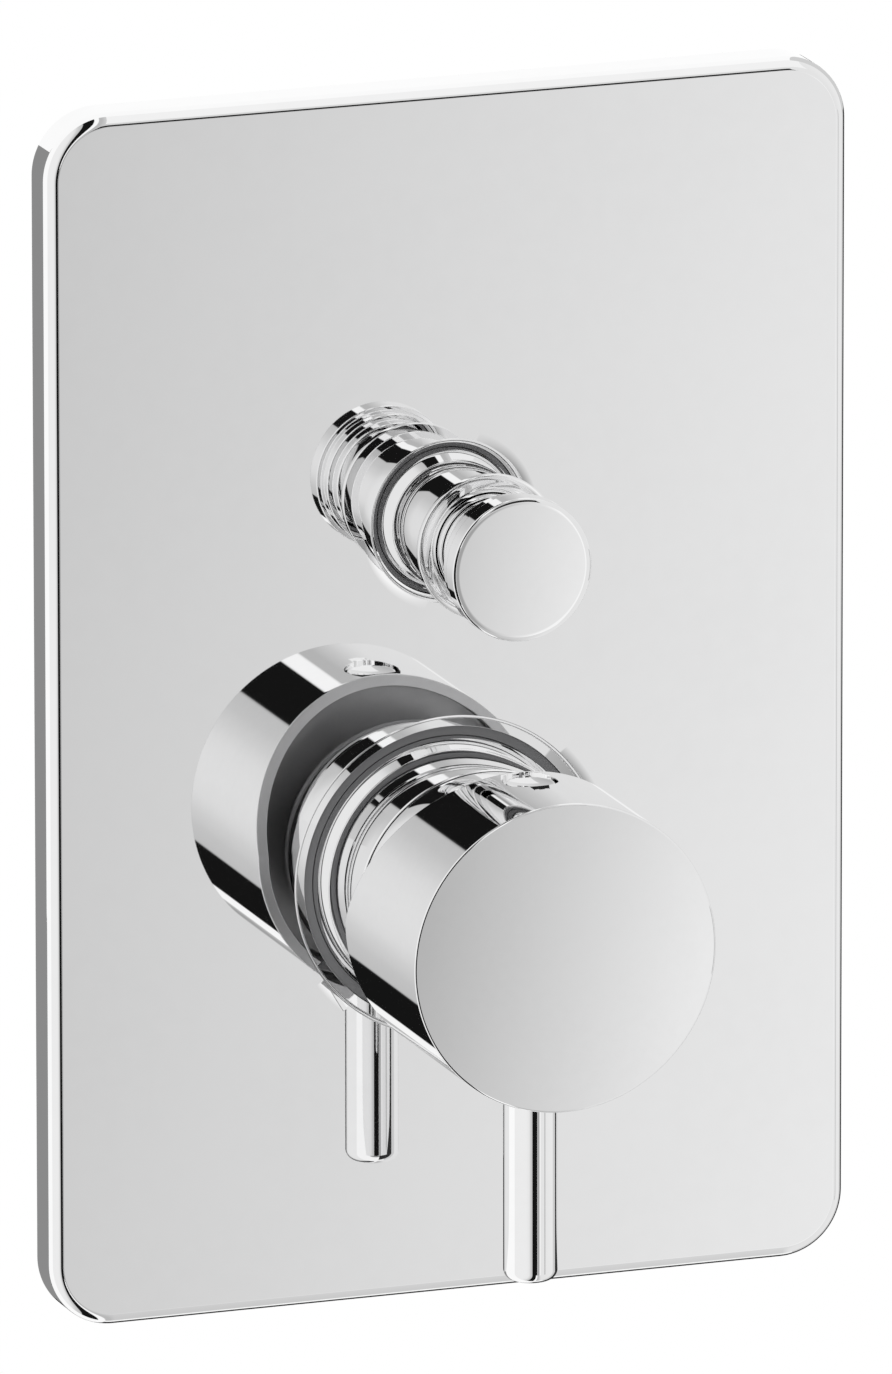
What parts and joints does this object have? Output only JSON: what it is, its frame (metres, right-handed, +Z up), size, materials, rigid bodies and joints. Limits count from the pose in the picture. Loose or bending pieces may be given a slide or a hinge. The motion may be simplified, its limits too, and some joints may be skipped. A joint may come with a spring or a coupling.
{
  "type": "shower diverter mixer",
  "caption": "Concealed shower mixer: rounded face plate, tilting and turning lever on a round head, pull-out diverter knob, ceramic cartridge and brass valve body built into the wall.",
  "frame": {"origin": "on the finished wall's plane, behind the face plate's centre", "axes": "+Z up along the face plate, +Y into the wall, so the plate, lever and knob face -Y"},
  "size_m": [0.134, 0.1128, 0.197],
  "materials": {
    "chrome": "polished chrome plate",
    "brass": "plain cast and machined",
    "steel": "plain",
    "plastic": "moulded",
    "ceramic": "lapped",
    "rubber": "plain",
    "foam": "closed-cell foam"
  },
  "bodies": {
    "fixed": {"face_plate": "chrome", "plate_gasket": "foam", "mounting_bracket": "steel", "bracket_screw_left": "steel", "bracket_screw_right": "steel", "mixer_sleeve": "chrome", "mixer_sleeve_ring": "rubber", "dome_cap": "chrome", "cartridge_nut": "brass", "cartridge_housing": "plastic", "fixed_disc": "ceramic", "cartridge_base": "plastic", "port_seal_hot": "rubber", "port_seal_cold": "rubber", "port_seal_mixed": "rubber", "valve_body": "brass", "diverter_bonnet": "brass", "bonnet_ring": "rubber", "stem_ring": "rubber", "diverter_sleeve": "chrome", "diverter_sleeve_ring": "rubber", "diverter_bush": "chrome"},
    "rotor": {"cartridge_rotor": "plastic", "pivot_pin": "steel"},
    "disc_carriage": {"disc_carrier": "plastic", "moving_disc": "ceramic"},
    "lever": {"lever_stem": "steel", "lever_head": "chrome", "lever_pin": "chrome", "head_screw": "steel", "head_plug": "chrome"},
    "diverter": {"diverter_knob": "chrome", "diverter_stem": "steel", "diverter_piston": "brass", "piston_front_seal": "rubber", "piston_rear_seal": "rubber"}
  },
  "joints": [
    {"name": "mixer_turn", "type": "hinge", "parent": "fixed", "child": "rotor", "pos_m": [0, -0.0195, -0.0298], "axis": [0, 1, 0], "range_deg": [-45, 45]},
    {"name": "lever_tilt", "type": "hinge", "parent": "rotor", "child": "lever", "pos_m": [0, -0.0195, -0.0298], "axis": [-1, 0, 0], "range_deg": [0, 25]},
    {"name": "disc_slide", "type": "slide", "parent": "rotor", "child": "disc_carriage", "axis": [0, 0, -1], "range_m": [0, 0.0058]},
    {"name": "diverter_pull", "type": "slide", "parent": "fixed", "child": "diverter", "axis": [0, -1, 0], "range_m": [0, 0.008]}
  ],
  "couplings": [
    {"joint": "disc_slide", "follows": "lever_tilt", "m_per_rad": 0.01307}
  ]
}
